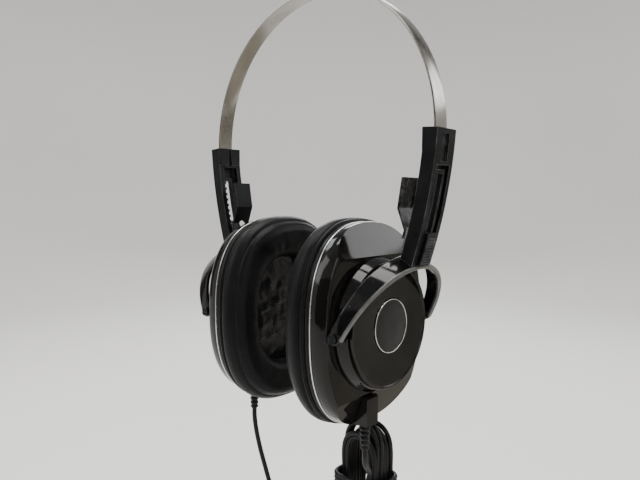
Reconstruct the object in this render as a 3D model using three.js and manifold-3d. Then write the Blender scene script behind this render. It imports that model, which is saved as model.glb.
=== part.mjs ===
// Wired vintage hi-fi headphones: a steel spring headband, two arms with ratcheted strap sliders,
// two yokes and two oval closed ear cups with vinyl pads, and a cord that joins under the cups.
// Millimetres. +Z up, +X towards the wearer's left cup, -Y to the wearer's front.
// The origin is the underside of the headband at its crown.
import * as THREE from "three";
import { mergeVertices } from "three/addons/utils/BufferGeometryUtils.js";
import Module from "manifold-3d";

const wasm = await Module();
wasm.setup();

// ---- Driving dimensions ----
const GAP = 0.3; // clearance between touching pieces
const BAND_RADIUS = 77; // inner radius of the steel band
const BAND_THICK = 1;
const BAND_WIDTH = 10;
const BAND_FACETS = 45; // odd, so that one level facet lies at the crown
const BAND_TAIL = 12; // straight end held in the collar

const ARC_RADIUS = 252; // the arm's outer face follows this arc
const ARC_X = -170.3;
const ARC_Z = -58.7;
const ARM_WIDTH = 16.3;
const ARM_DEPTH = 6.9;
const COLLAR_DEPTH = 7.9;
const ARM_TOP = 4.28; // degrees along the arc, measured down from level
const COLLAR_END = 6.7;
const BLOCK_END = 8;
const SLOT_TOP = 8.9;
const SLOT_END = 16.2;
const ARM_END = 20;
const FOOT_TOP = 19.15; // the channel is closed below this by the arm's foot
const WEB_DEPTH = 2.2; // the slotted web lies this far in from the outer face
const WEB_THICK = 2;
const BED_HALF = 5.2;
const RIDGE = 1.4; // height of the track round the slot
const RIDGE_WIDTH = 7;
const CHANNEL_WIDTH = 11.2;
const SLOT_WIDTH = 4.2;
const TOOTH_COUNT = 8;

const GRIP_TOP = 15.15;
const GRIP_END = 18.95;
const GRIP_WIDTH = 7.6;
const GRIP_PROUD = 1.6; // how far it stands out from the arm
const RIB_COUNT = 11;
const TAB_WIDTH = 12;
const TAB_THICK = 1.2;

const CUP_Z = -171.3; // centre of both ear cups
const PIVOT_X = 47.2;
const PIVOT_Z = -171.7;
const YOKE_TILT = 29; // degrees that the yoke leans out from the upright
const YOKE_RADIUS = 36.3; // inner radius of the ribbon
const RIBBON_THICK = 2.2;
const RIBBON_IN = -6; // ribbon edge nearest the ear at the apex, measured across the yoke
const RIBBON_OUT = 3.6;
const BEAD_RADIUS = 1.3; // the bead along the ribbon's outer edge
const BEAD_X = 3; // its place across the yoke
const BEAD_AT = YOKE_RADIUS + 0.9;

const OVAL = 0.805; // width of the cup divided by its height
const OVAL_POWER = 2.5; // 2 would be an ellipse, higher is squarer
const FACE_X = 44; // the level middle of the face
const FACE_HALF = 48.8; // half heights of the oval at each station
const LEAD_HOLE_Z = -38; // the lead passes from the block into the shell here
const WALL = 2.2;
const SLOPE_START = 34.3; // distance from the cup's middle to where the face turns back
const SLOPE_DROP = 7.6; // the face slopes back this far by SLOPE_END from the cup's middle
const SLOPE_END = 54;
const TRIM_X = 35.1;
const TRIM_HALF = 51.2;
const PAD_X = 25.7;
const PAD_HALF = 53;
const PAD_FACE_X = 15;
const PAD_HOLE_HALF = 30;
const PAD_SEAT = 40.5; // the pad's back is open inside this
const PAD_BASE = 28; // underside of its inner lip
const BOSS_BASE = 34;
const BOSS_TOP = 31;
const DISC_X = 51.6;
const BADGE_RADIUS = 13.5;
const BADGE_RIM = 0.55;

const CORD_RADIUS = 1.4;
const CORD_Y = -8; // the cord leaves each cup a little in front of its middle
const BLOCK_TOP = -206;
const BLOCK_LOW = -220.8;
const RELIEF_X = 42;
const NECK_TOP = -215.5;
const RELIEF_TOP = -221.5;
const RELIEF_LOW = -234;
const RELIEF_RIBS = 5;
const OVAL_SEGMENTS = 32;
const DRIVER_SEGMENTS = 16;
const BADGE_SEGMENTS = 24;

const deg = (a) => THREE.MathUtils.degToRad(a);
const SIDES = [-1, 1]; // front and rear
const across = (side, near, far) => (side > 0 ? [near, far] : [-far, -near]);

// ---- Materials ----
const finish = (color, roughness, metalness) =>
  new THREE.MeshStandardMaterial({ color, roughness, metalness });
const steel = finish(0xb9bbbd, 0.2, 1);
const satinBlack = finish(0x1a1b1d, 0.45, 0);
const glossBlack = finish(0x0b0b0d, 0.12, 0);
const yokeGrey = finish(0x5c5f60, 0.4, 0.2);
const nickel = finish(0x9b9c9c, 0.35, 1);
const silverTrim = finish(0xc9c9c6, 0.25, 1);
const badgeBlack = finish(0x232325, 0.8, 0);
const vinyl = finish(0x141415, 0.5, 0);
const cloth = finish(0x101011, 0.7, 0);
const paper = finish(0x2a2926, 0.9, 0);
const rubber = finish(0x121213, 0.6, 0);
const magnetGrey = finish(0x4a4b4d, 0.5, 0.7);

// ---- Solids ----
function solid(geometry) {
  const g = geometry.index ? geometry.toNonIndexed() : geometry.clone();
  g.deleteAttribute("normal");
  g.deleteAttribute("uv");
  const merged = mergeVertices(g, 1e-4);
  return new wasm.Manifold(
    new wasm.Mesh({
      numProp: 3,
      vertProperties: merged.attributes.position.array,
      triVerts: new Uint32Array(merged.index.array),
    }),
  );
}

function geometryOf(manifold) {
  const mesh = manifold.getMesh();
  const g = new THREE.BufferGeometry();
  g.setAttribute("position", new THREE.BufferAttribute(mesh.vertProperties, 3));
  g.setIndex(new THREE.BufferAttribute(mesh.triVerts, 1));
  return g;
}

const join = (...parts) => parts.reduce((a, b) => a.add(b));
const cut = (body, ...tools) => tools.reduce((a, b) => a.subtract(b), body);

// An outline in the XZ plane, given as [x, z] points, extruded from y0 to y1.
function slabY(points, y0, y1) {
  const shape = new THREE.Shape(points.map(([x, z]) => new THREE.Vector2(x, z)));
  const g = new THREE.ExtrudeGeometry(shape, { depth: y1 - y0, bevelEnabled: false });
  g.rotateX(Math.PI / 2); // shape y becomes z, and the depth runs to -Y
  return solid(g.translate(0, y1, 0));
}

// An outline in the YZ plane, given as [y, z] points, extruded from x0 to x1.
function slabX(points, x0, x1) {
  const shape = new THREE.Shape(points.map(([y, z]) => new THREE.Vector2(y, z)));
  const g = new THREE.ExtrudeGeometry(shape, { depth: x1 - x0, bevelEnabled: false });
  g.rotateX(Math.PI / 2);
  g.rotateZ(Math.PI / 2);
  return solid(g.translate(x0, 0, 0));
}

function box(x0, x1, y0, y1, z0, z1) {
  const g = new THREE.BoxGeometry(x1 - x0, y1 - y0, z1 - z0);
  return solid(g.translate((x0 + x1) / 2, (y0 + y1) / 2, (z0 + z1) / 2));
}

function rodX(radius, x0, x1, y = 0, z = 0, segments = 24) {
  const g = new THREE.CylinderGeometry(radius, radius, x1 - x0, segments);
  g.rotateZ(Math.PI / 2);
  return solid(g.translate((x0 + x1) / 2, y, z));
}

function rodY(radius, y0, y1, x = 0, z = 0, segments = 24) {
  const g = new THREE.CylinderGeometry(radius, radius, y1 - y0, segments);
  return solid(g.translate(x, (y0 + y1) / 2, z));
}

function rodZ(radius, z0, z1, x = 0, y = 0, segments = 16) {
  const g = new THREE.CylinderGeometry(radius, radius, z1 - z0, segments);
  g.rotateX(Math.PI / 2);
  return solid(g.translate(x, y, (z0 + z1) / 2));
}

// An outline in the XY plane, given as [x, y] points in either order, extruded in Z.
function slabZ(points, z0, z1) {
  const shape = new THREE.Shape(points.map(([x, y]) => new THREE.Vector2(x, y)));
  const g = new THREE.ExtrudeGeometry(shape, { depth: z1 - z0, bevelEnabled: false });
  return solid(g.translate(0, 0, z0));
}

// A profile of [radius, z] points turned about an upright axis.
function turnedZ(profile, x, y, segments) {
  const points = profile.map(([r, z]) => new THREE.Vector2(r, z));
  const g = new THREE.LatheGeometry(points, segments);
  g.rotateX(Math.PI / 2);
  return solid(g.translate(x, y, 0));
}

// A profile of [radius, x] points turned about the X axis. With `oval` below 1 the turned shape
// becomes a rounded oval: its half height is the profile's radius, its half width `oval` times that.
function latheX(profile, oval = 1, segments = OVAL_SEGMENTS) {
  const points = profile.map(([r, x]) => new THREE.Vector2(r, x));
  const area = THREE.ShapeUtils.area(points);
  const g = new THREE.LatheGeometry(area > 0 ? points : points.reverse(), segments);
  g.rotateZ(-Math.PI / 2);
  if (oval !== 1) {
    const at = g.getAttribute("position");
    for (let i = 0; i < at.count; i++) {
      const [y, z] = [at.getY(i), at.getZ(i)];
      const r = Math.hypot(y, z);
      if (r === 0) continue;
      const sum = Math.abs(y / r / oval) ** OVAL_POWER + Math.abs(z / r) ** OVAL_POWER;
      const k = sum ** (-1 / OVAL_POWER);
      at.setY(i, y * k);
      at.setZ(i, z * k);
    }
  }
  return solid(g);
}

// A point on the arm's arc: depth below the outer face, and degrees down from level.
function onArc(depth, degrees) {
  const r = ARC_RADIUS - depth;
  return [ARC_X + r * Math.cos(deg(degrees)), ARC_Z - r * Math.sin(deg(degrees))];
}

// A curved bar that follows the arm's arc.
function arcBar(depthIn, depthOut, from, to, y0, y1, steps = 10) {
  const points = [];
  for (let i = 0; i <= steps; i++) points.push(onArc(depthOut, from + ((to - from) * i) / steps));
  for (let i = steps; i >= 0; i--) points.push(onArc(depthIn, from + ((to - from) * i) / steps));
  return slabY(points, y0, y1);
}

const root = new THREE.Group();
root.name = "headphones";

function addMesh(group, name, manifold, material) {
  const mesh = new THREE.Mesh(geometryOf(manifold), material);
  mesh.name = name;
  group.add(mesh);
  return mesh;
}

// ---- Headband ----
const RIVET_RADIUS = 1.5;
const RIVET_Z = -83.5;

function headbandStrip() {
  const outer = BAND_RADIUS + BAND_THICK;
  const points = [];
  const end = -BAND_RADIUS - BAND_TAIL;
  const ring = (radius, i) => {
    const a = (Math.PI * i) / BAND_FACETS;
    return [radius * Math.cos(a), -BAND_RADIUS + radius * Math.sin(a)];
  };
  // Radii are scaled so that the crown facet, not its corners, lies at the stated radius.
  const flat = 1 / Math.cos(Math.PI / (2 * BAND_FACETS));
  points.push([outer * flat, end]);
  for (let i = 0; i <= BAND_FACETS; i++) points.push(ring(outer * flat, i));
  points.push([-outer * flat, end]);
  points.push([-BAND_RADIUS * flat, end]);
  for (let i = BAND_FACETS; i >= 0; i--) points.push(ring(BAND_RADIUS * flat, i));
  points.push([BAND_RADIUS * flat, end]);
  return cut(
    slabY(points, -BAND_WIDTH / 2, BAND_WIDTH / 2),
    rodX(0.9 + GAP, -90, 90, 0, RIVET_Z, 12),
  );
}

const COLLAR_LOW = -88.2; // lower end of the collar's inner facets

// ---- Arm: a curved channel with a collar at its top and a toothed slot ----
function arm() {
  const half = ARM_WIDTH / 2;
  const channel = CHANNEL_WIDTH / 2;
  const bar = join(
    arcBar(ARM_DEPTH, 0, ARM_TOP, ARM_END, -half, half, 12),
    arcBar(COLLAR_DEPTH, ARM_DEPTH - 1, ARM_TOP, COLLAR_END, -half, half, 3),
  );
  const hollowed = cut(
    bar,
    arcBar(WEB_DEPTH, -2, BLOCK_END, FOOT_TOP, -channel, channel, 12),
    arcBar(0.9, -2, ARM_TOP + 0.5, BLOCK_END - 0.35, -2.6, 2.6, 4),
  );
  const rail = RIDGE_WIDTH / 2;
  const track = arcBar(WEB_DEPTH + 0.5, WEB_DEPTH - RIDGE, SLOT_TOP - 0.4, SLOT_END + 0.4, -rail, rail, 8);
  const tools = [
    arcBar(ARM_DEPTH + 2, -1, SLOT_TOP, SLOT_END, -SLOT_WIDTH / 2, SLOT_WIDTH / 2, 8),
    // the pocket that holds the band, and its rivet's hole
    box(
      BAND_RADIUS - GAP, BAND_RADIUS + BAND_THICK + 0.05 + GAP,
      -BAND_WIDTH / 2 - GAP, BAND_WIDTH / 2 + GAP,
      -BAND_RADIUS - BAND_TAIL - GAP, -70,
    ),
    rodX(RIVET_RADIUS + GAP, 74.3, 90, 0, RIVET_Z, 16),
    // the bed down the inner face, and the pocket at its top
    arcBar(ARM_DEPTH + 1, WEB_DEPTH + WEB_THICK, COLLAR_END + 0.3, FOOT_TOP, -BED_HALF, BED_HALF, 10),
    arcBar(ARM_DEPTH + 1, 3.4, COLLAR_END + 0.3, SLOT_TOP - 0.4, -4.6, 4.6, 2),
  ];
  // ratchet notches along the slot's front edge
  const pitch = (SLOT_END - SLOT_TOP - 0.8) / TOOTH_COUNT;
  const edge = -SLOT_WIDTH / 2;
  for (let i = 0; i < TOOTH_COUNT; i++) {
    const a = SLOT_TOP + 0.5 + i * pitch;
    tools.push(arcBar(ARM_DEPTH + 1, WEB_DEPTH - 0.5, a, a + pitch * 0.55, edge - 0.9, edge + 0.3, 1));
  }
  // chamfers on the collar's corners and the groove down its inner face
  for (const side of SIDES) {
    tools.push(
      slabZ([[84, side * (half - 1.6)], [79, side * (half + 2)], [84, side * (half + 2)]], -90, -70),
      slabZ(
        [[71.2, side * (half - 2.6)], [74.5, side * (half + 2)], [71.2, side * (half + 2)]],
        COLLAR_LOW, -70,
      ),
    );
  }
  tools.push(slabZ([[72, -1.5], [73.9, 0], [72, 1.5]], COLLAR_LOW, -70));
  return cut(join(hollowed, track), ...tools, yokeClearance());
}

const bandRivet = () =>
  join(
    rodX(RIVET_RADIUS, BAND_RADIUS + BAND_THICK + 0.7, 79.8, 0, RIVET_Z, 16),
    rodX(RIVET_RADIUS, 74.6, 76.4, 0, RIVET_Z, 16),
    rodX(0.9, 76, 79, 0, RIVET_Z, 12),
  );

// ---- Strap slider: grip outside, plate and strap tab inside, held by a screw through the slot ----
function sliderGrip() {
  const half = GRIP_WIDTH / 2;
  const floor = WEB_DEPTH - RIDGE - GAP;
  const keyLow = ARM_DEPTH - 0.4;
  const parts = [
    arcBar(floor, -GRIP_PROUD, GRIP_TOP, GRIP_END, -half, half, 4),
    arcBar(keyLow, floor - 0.5, GRIP_TOP + 0.2, SLOT_END - 0.2, -1.7, 1.7, 1),
  ];
  const pitch = (GRIP_END - GRIP_TOP - 0.5) / RIB_COUNT;
  for (let i = 0; i < RIB_COUNT; i++) {
    const a = GRIP_TOP + 0.5 + i * pitch;
    parts.push(arcBar(0, -GRIP_PROUD - 0.5, a, a + pitch * 0.5, -half, half, 1));
  }
  return cut(join(...parts), screwHole(1.5), yokeClearance());
}

const SCREW_AT = 15.75; // degrees along the arc

// A rod through the slider, square to the arm's arc.
function acrossArc(radius, depthIn, depthOut, segments = 16) {
  const g = new THREE.CylinderGeometry(radius, radius, depthIn - depthOut, segments);
  g.rotateZ(Math.PI / 2);
  g.translate(ARC_RADIUS - (depthIn + depthOut) / 2, 0, 0);
  g.rotateY(deg(SCREW_AT));
  return solid(g.translate(ARC_X, 0, ARC_Z));
}

const screwHole = (radius) => acrossArc(radius, 14, 1.6);
const sliderScrew = () => join(acrossArc(1.1, 10.2, 2), acrossArc(2.1, 11.1, 9.9));

const PLATE_TOP = 15.1;
const PLATE_END = 17.7;
const SPRING_THICK = 0.4;

function sliderPlate() {
  const inner = ARM_DEPTH + 2 * GAP + SPRING_THICK + 1.2;
  return cut(
    arcBar(inner, inner - 1, PLATE_TOP, PLATE_END, -TAB_WIDTH / 2, TAB_WIDTH / 2, 3),
    screwHole(1.4),
  );
}

// The leaf that clicks into the ratchet notches lies between the plate and the arm.
function detentSpring() {
  const inner = ARM_DEPTH + GAP + SPRING_THICK;
  const leaf = arcBar(inner, ARM_DEPTH + GAP, PLATE_TOP + 0.2, PLATE_END - 1.2, -4, 4, 2);
  return cut(leaf, screwHole(1.4));
}

// A bent plate: an upright panel that stands in from the arm, and a slope down to the plate.
function strapTab() {
  const inner = ARM_DEPTH + 2 * GAP + SPRING_THICK + 1.2;
  const [footX, footZ] = onArc(inner + GAP, PLATE_TOP + 0.25);
  const [heelX, heelZ] = onArc(inner + GAP, PLATE_TOP + 1.35);
  const t = TAB_THICK;
  const outline = [
    [61, -98.8], [58.6, -113.3], [footX - t, footZ - 0.6], [heelX - t, heelZ],
    [heelX, heelZ], [footX, footZ], [58.6 + t, -113.1], [61 + t, -98.8],
  ];
  const flange = [[61 + t / 2, -98.8], [59.2, -112.6], [60.8, -112.6], [62.6, -98.8]];
  const half = TAB_WIDTH / 2;
  return cut(
    join(slabY(outline, -half, half), slabY(flange, half - 1, half), slabY(flange, -half, 1 - half)),
    acrossArc(2.5, 14, 9.2),
  );
}

// ---- Yoke ----
// Built upright about the pivot axis (local origin), with the ribbon's width along local X,
// then leaned outwards by YOKE_TILT.
function yokeArc(radiusIn, radiusOut, x0, x1, steps) {
  const points = [];
  const at = (r, i) => {
    const a = -Math.PI / 2 + (Math.PI * i) / steps;
    return [r * Math.sin(a), r * Math.cos(a)];
  };
  for (let i = 0; i <= steps; i++) points.push(at(radiusOut, i));
  for (let i = steps; i >= 0; i--) points.push(at(radiusIn, i));
  return slabX(points, x0, x1);
}

class ArcCurve extends THREE.Curve {
  getPoint(t, target = new THREE.Vector3()) {
    const a = deg(-88 + 176 * t);
    return target.set(BEAD_X, BEAD_AT * Math.sin(a), BEAD_AT * Math.cos(a));
  }
}

function bead() {
  const section = new THREE.Shape();
  section.absarc(0, 0, BEAD_RADIUS, 0, 2 * Math.PI);
  return solid(
    new THREE.ExtrudeGeometry(section, {
      steps: 20,
      curveSegments: 3,
      bevelEnabled: false,
      extrudePath: new ArcCurve(),
    }),
  );
}

const EAR_THICK = 2.6;
const EAR_RADIUS = 3.1;
const PIN_RADIUS = 1.3;

function yoke() {
  const outer = YOKE_RADIUS + RIBBON_THICK;
  // The ribbon narrows from the apex towards the pivots: what lies beyond this edge is cut away.
  const edge = [[-3.2, -8], [-3.4, 6], [-4.2, 16], [-5.4, 26], [RIBBON_IN, 34], [RIBBON_IN, 60]];
  const waste = slabY([[-30, -8], ...edge, [-30, 60]], -60, 60);
  const ribbon = cut(yokeArc(YOKE_RADIUS, outer, RIBBON_IN - 1, RIBBON_OUT, 20), waste);
  const middle = YOKE_RADIUS + RIBBON_THICK / 2;
  const ears = SIDES.map((side) =>
    rodY(EAR_RADIUS, ...across(side, middle - EAR_THICK / 2, middle + EAR_THICK / 2), 0, 0, 16),
  );
  const body = leaned(join(ribbon, bead(), ...ears));
  return cut(body, rodY(PIN_RADIUS + GAP, -45, 45, PIVOT_X, PIVOT_Z, 16));
}

const leaned = (m) => m.rotate([0, YOKE_TILT, 0]).translate([PIVOT_X, 0, PIVOT_Z]);

// Everything inside the outer surface of the ribbon, with its clearance.
const yokeClearance = () =>
  leaned(rodX(YOKE_RADIUS + RIBBON_THICK + GAP, -20, 12, 0, 0, 48));

// ---- Ear cup ----
// Every cup piece is built about the X axis and lifted to CUP_Z.
const toCup = (m) => m.translate([0, 0, CUP_Z]);

// The face is level as far as the boss and slopes back above and below it. `inset` moves the
// slopes inwards for the inner surface.
function slopedBack(body, inset) {
  const level = FACE_X - inset;
  const low = level - SLOPE_DROP;
  const clear = level + 20;
  const profile = [[level, SLOPE_START], [low, SLOPE_END], [clear, SLOPE_END], [clear, SLOPE_START]];
  const waste = (sign) => slabY(profile.map(([x, z]) => [x, sign * z]), -60, 60);
  return cut(body, waste(1), waste(-1));
}

function cupShell() {
  const rim = TRIM_X + 0.35 + GAP;
  const outside = latheX([
    [0, rim], [TRIM_HALF - 0.4, rim], [TRIM_HALF - 0.4, TRIM_X + 3], [TRIM_HALF - 1, TRIM_X + 6.4],
    [FACE_HALF, FACE_X - 0.4], [FACE_HALF - 1, FACE_X], [0, FACE_X],
  ], OVAL);
  const inside = latheX([
    [0, rim - 1], [TRIM_HALF - 0.4 - WALL, rim - 1], [FACE_HALF - WALL, FACE_X - WALL - 1],
    [0, FACE_X - WALL],
  ], OVAL);
  const shell = cut(slopedBack(outside, 0), slopedBack(inside, WALL));
  const opening = rodX(BOSS_BASE - 5, 30, 60, 0, 0, OVAL_SEGMENTS);
  const leadHole = rodX(1.6, 35, 50, CORD_Y, LEAD_HOLE_Z, 16);
  return toCup(cut(shell, opening, leadHole));
}

// The round housing that the yoke's pins run in.
function bossHousing() {
  const seat = FACE_X + GAP;
  const top = DISC_X - 1.5 - GAP;
  const spigot = BOSS_BASE - 5.2; // fits the round opening of the shell
  const profile = [
    [BOSS_BASE, seat],
    [BOSS_BASE - 0.3, FACE_X + 1.5],
    [BOSS_TOP + 0.6, top],
    [BOSS_TOP - 1.6, top],
    [spigot - 1, FACE_X + 2.2],
    [spigot - 1, FACE_X - 3],
    [spigot, FACE_X - 3],
    [spigot, seat],
    [BOSS_BASE, seat],
  ];
  const at = PIVOT_Z - CUP_Z;
  const lugs = SIDES.map((side) => rodY(2.6, ...across(side, 28, 35.1), PIVOT_X, at, 12));
  const holes = SIDES.map((side) => rodY(PIN_RADIUS + GAP, ...across(side, 26, 40), PIVOT_X, at, 12));
  return toCup(cut(join(latheX(profile), ...lugs), ...holes));
}

// The outer disc with a thin raised rim and a recess for the badge.
function bossCap() {
  const profile = [
    [0, DISC_X - 1.5],
    [BOSS_TOP, DISC_X - 1.5],
    [BOSS_TOP, DISC_X + 0.6],
    [BOSS_TOP - 1, DISC_X + 0.6],
    [BOSS_TOP - 1.2, DISC_X],
    [BADGE_RADIUS + 0.4, DISC_X],
    [BADGE_RADIUS + 0.4, DISC_X - 0.8],
    [0, DISC_X - 0.8],
  ];
  return toCup(latheX(profile));
}

function badgeRing() {
  const x0 = DISC_X - 0.8 + GAP;
  const x1 = DISC_X + 0.5;
  const inner = BADGE_RADIUS - BADGE_RIM;
  const profile = [[inner, x0], [BADGE_RADIUS, x0], [BADGE_RADIUS, x1], [inner, x1], [inner, x0]];
  return toCup(latheX(profile, 1, BADGE_SEGMENTS));
}

function badgeInsert() {
  const x0 = DISC_X - 0.8 + GAP;
  const r = BADGE_RADIUS - BADGE_RIM - GAP;
  const x1 = DISC_X + 0.2;
  return toCup(latheX([[0, x0], [r, x0], [r, x1], [0, x1]], 1, BADGE_SEGMENTS));
}

function ovalRing(outer, inner, x0, x1) {
  return toCup(latheX([[inner, x0], [outer, x0], [outer, x1], [inner, x1], [inner, x0]], OVAL));
}

const trimRing = () => ovalRing(TRIM_HALF, TRIM_HALF - 3, TRIM_X - 0.35, TRIM_X + 0.35);
const padFrame = () => ovalRing(TRIM_HALF - 0.1, PAD_SEAT, TRIM_X - 3, TRIM_X - 0.65);

const BAFFLE_X = 31.8;
const BAFFLE_THICK = 2;
const BAFFLE_HALF = 40;
const SOUND_HOLE = 3; // radius
const SOUND_HOLES = 8; // in a ring round the middle one
const VENT = 1.5;
const DRIVER_RADIUS = 26;

// The plate that carries the driver, with sound holes over it and two vents.
function baffle() {
  const x1 = BAFFLE_X + BAFFLE_THICK;
  const plate = latheX([[0, BAFFLE_X], [BAFFLE_HALF, BAFFLE_X], [BAFFLE_HALF, x1], [0, x1]], OVAL);
  const tools = [rodX(SOUND_HOLE, 20, 50, 0, 0, 6)];
  for (let i = 0; i < SOUND_HOLES; i++) {
    const a = (2 * Math.PI * i) / SOUND_HOLES;
    tools.push(rodX(SOUND_HOLE, 20, 50, 14 * Math.cos(a), 14 * Math.sin(a), 6));
  }
  for (const side of SIDES) tools.push(rodX(VENT, 20, 50, 0, side * 33, 6));
  return toCup(cut(plate, ...tools));
}

const DRIVER_X = BAFFLE_X + BAFFLE_THICK + GAP;

function driverBasket() {
  const profile = [
    [DRIVER_RADIUS - 2.5, DRIVER_X],
    [DRIVER_RADIUS, DRIVER_X],
    [DRIVER_RADIUS, DRIVER_X + 1.5],
    [15.5, DRIVER_X + 6.2],
    [12.6, DRIVER_X + 6.2],
    [12.6, DRIVER_X + 5.2],
    [15, DRIVER_X + 5.2],
    [DRIVER_RADIUS - 2.5, DRIVER_X + 1.2],
    [DRIVER_RADIUS - 2.5, DRIVER_X],
  ];
  return toCup(latheX(profile, 1, DRIVER_SEGMENTS));
}

function driverCone() {
  const profile = [
    [0, DRIVER_X + 1.2],
    [9, DRIVER_X + 2.4],
    [DRIVER_RADIUS - 5.6, DRIVER_X + 0.3],
    [DRIVER_RADIUS - 3, DRIVER_X + 0.1],
    [DRIVER_RADIUS - 3, DRIVER_X + 0.6],
    [9, DRIVER_X + 3],
    [0, DRIVER_X + 1.8],
  ];
  return toCup(latheX(profile, 1, DRIVER_SEGMENTS));
}

const driverMagnet = () => toCup(rodX(12, DRIVER_X + 4.2, DRIVER_X + 12.5, 0, 0, DRIVER_SEGMENTS));

// The thin damping cloth that covers the baffle inside the pad.
const dustCloth = () => toCup(latheX([[0, 28.6], [38, 28.6], [38, 29.2], [0, 29.2]], OVAL));

// The vinyl cushion: a soft oval ring that stands off the pad frame.
function earPad() {
  const mid = (PAD_HALF + PAD_HOLE_HALF) / 2;
  const back = TRIM_X - 3 - GAP;
  const profile = [
    [PAD_SEAT, back],
    [PAD_HALF - 2, back],
    [PAD_HALF, PAD_X],
    [PAD_HALF - 1.4, PAD_X - 5],
    [PAD_HALF - 4.6, PAD_X - 8.8],
    [mid + 4, PAD_FACE_X],
    [mid - 3, PAD_FACE_X],
    [PAD_HOLE_HALF + 2, PAD_FACE_X + 2.4],
    [PAD_HOLE_HALF, PAD_FACE_X + 7],
    [PAD_HOLE_HALF + 3, PAD_BASE],
    [PAD_SEAT, PAD_BASE],
    [PAD_SEAT, back],
  ];
  return toCup(latheX(profile, OVAL));
}

// One pin with a slotted head holds each end of the yoke to the boss.
function pivotScrew(side) {
  const head = YOKE_RADIUS + RIBBON_THICK / 2 + EAR_THICK / 2 + GAP;
  const rod = (radius, near, far) => rodY(radius, ...across(side, near, far), PIVOT_X, PIVOT_Z, 16);
  const slot = box(
    PIVOT_X - 4, PIVOT_X + 4,
    ...across(side, head + 0.6, head + 3),
    PIVOT_Z - 0.35, PIVOT_Z + 0.35,
  );
  return cut(join(rod(PIN_RADIUS, 29, head + 0.2), rod(2.3, head, head + 0.9)), slot);
}

// ---- Cord entry ----
function cordBlock() {
  const inner = FACE_X + GAP;
  const outer = FACE_X + 2.6;
  const half = 4.6;
  const slope = SLOPE_DROP / (SLOPE_END - SLOPE_START);
  const foot = inner - (CUP_Z - SLOPE_START - BLOCK_LOW) * slope;
  const outline = [
    [inner, BLOCK_TOP], [outer - 0.8, BLOCK_TOP], [outer, BLOCK_TOP - 1],
    [outer, BLOCK_LOW], [foot, BLOCK_LOW],
  ];
  const socket = rodZ(1.5, BLOCK_LOW - 1, NECK_TOP + GAP, RELIEF_X, CORD_Y);
  return cut(slabY(outline, CORD_Y - half, CORD_Y + half), socket);
}

// A ribbed sleeve with a thin neck that plugs into the block.
function strainRelief() {
  const profile = [[0, RELIEF_LOW]];
  const pitch = (RELIEF_TOP - RELIEF_LOW) / RELIEF_RIBS;
  for (let i = 0; i < RELIEF_RIBS; i++) {
    const low = RELIEF_LOW + i * pitch;
    const radius = 2.3 + 0.1 * i;
    profile.push([radius, low], [radius, low + pitch * 0.55], [1.9, low + pitch * 0.7]);
  }
  profile.push([2.9, RELIEF_TOP], [1.2, RELIEF_TOP], [1.2, NECK_TOP], [0, NECK_TOP]);
  return turnedZ(profile, RELIEF_X, CORD_Y, 8);
}

// ---- Free cord: a branch from each cup to a split, then the main cord in a tied hank ----
class RouteCurve extends THREE.CatmullRomCurve3 {
  constructor(points) {
    super(points.map(([x, y, z]) => new THREE.Vector3(x, y, z)), false, "centripetal");
  }
}

function cordTube(points, steps) {
  const section = new THREE.Shape();
  section.absarc(0, 0, CORD_RADIUS, 0, 2 * Math.PI);
  const g = new THREE.ExtrudeGeometry(section, {
    steps,
    curveSegments: 2,
    bevelEnabled: false,
    extrudePath: new RouteCurve(points),
  });
  return solid(g);
}

const LEFT_ROUTE = [
  [42, -8, -234.3], [42, -8, -238], [41, -6.2, -243], [38.4, -0.4, -249], [35, 5.4, -254.4],
  [31.8, 8.5, -260], [29.6, 9.1, -266], [28, 9.1, -273], [26, 9, -286], [23.4, 8.9, -303],
  [19.6, 8.8, -326], [14.8, 8.6, -352], [9.6, 8.3, -377], [5, 8.1, -396], [3, 8, -405], [2.4, 8, -410.7],
];
const RIGHT_ROUTE = [
  [-42, -8, -234.3], [-42, -8, -239], [-41.4, -7.6, -246], [-39.6, -6.2, -258], [-36, -3.6, -275],
  [-31, -0.6, -296], [-25, 2.4, -319], [-18.4, 4.8, -342], [-11.8, 6.6, -365], [-6.4, 7.6, -386],
  [-3.4, 8, -402], [-2.4, 8, -410.7],
];
const MAIN_ROUTE = [
  [0, 8, -433.3], [0, 8, -439], [1.4, 8.8, -445], [5.6, 10.6, -449.6], [11, 13, -449.4], [15, 15, -445],
  [17, 16.2, -437], [18.2, 17, -425], [19.2, 17.6, -400], [20.2, 18, -372], [21, 18, -345],
  [21.6, 18, -322], [22, 18, -310], [22, 18, -302.8],
];
const TAIL_ROUTE = [
  [31, 18, -301], [31.6, 18, -307], [32.8, 18, -314], [34, 18, -323], [34.6, 18, -331], [34.6, 18, -338.7],
];

const HANK_TOP = -229;
const HANK_LOW = -302.5;
const HANK_X = [9, 36];
const HANK_Y = [11, 28.5];
const TIE_Z = [-270, -262];
const TIE_FRONT = 7.3;

// The wound hank: runs of cord beside each other with round folds at both ends.
function cordHank() {
  const [x0, x1] = HANK_X;
  const radius = (x1 - x0) / 2;
  const outline = [];
  const steps = 10;
  for (let i = 0; i <= steps; i++) {
    const a = (Math.PI * i) / steps;
    outline.push([x0 + radius + radius * Math.cos(a), HANK_TOP - radius + radius * Math.sin(a)]);
  }
  for (let i = 0; i <= steps; i++) {
    const a = Math.PI + (Math.PI * i) / steps;
    outline.push([x0 + radius + radius * Math.cos(a), HANK_LOW + radius + radius * Math.sin(a)]);
  }
  // The last run leaves from the lower fold, so the fold has a flat pad where the tail starts.
  return slabY(outline, HANK_Y[0], HANK_Y[1]);
}

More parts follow.
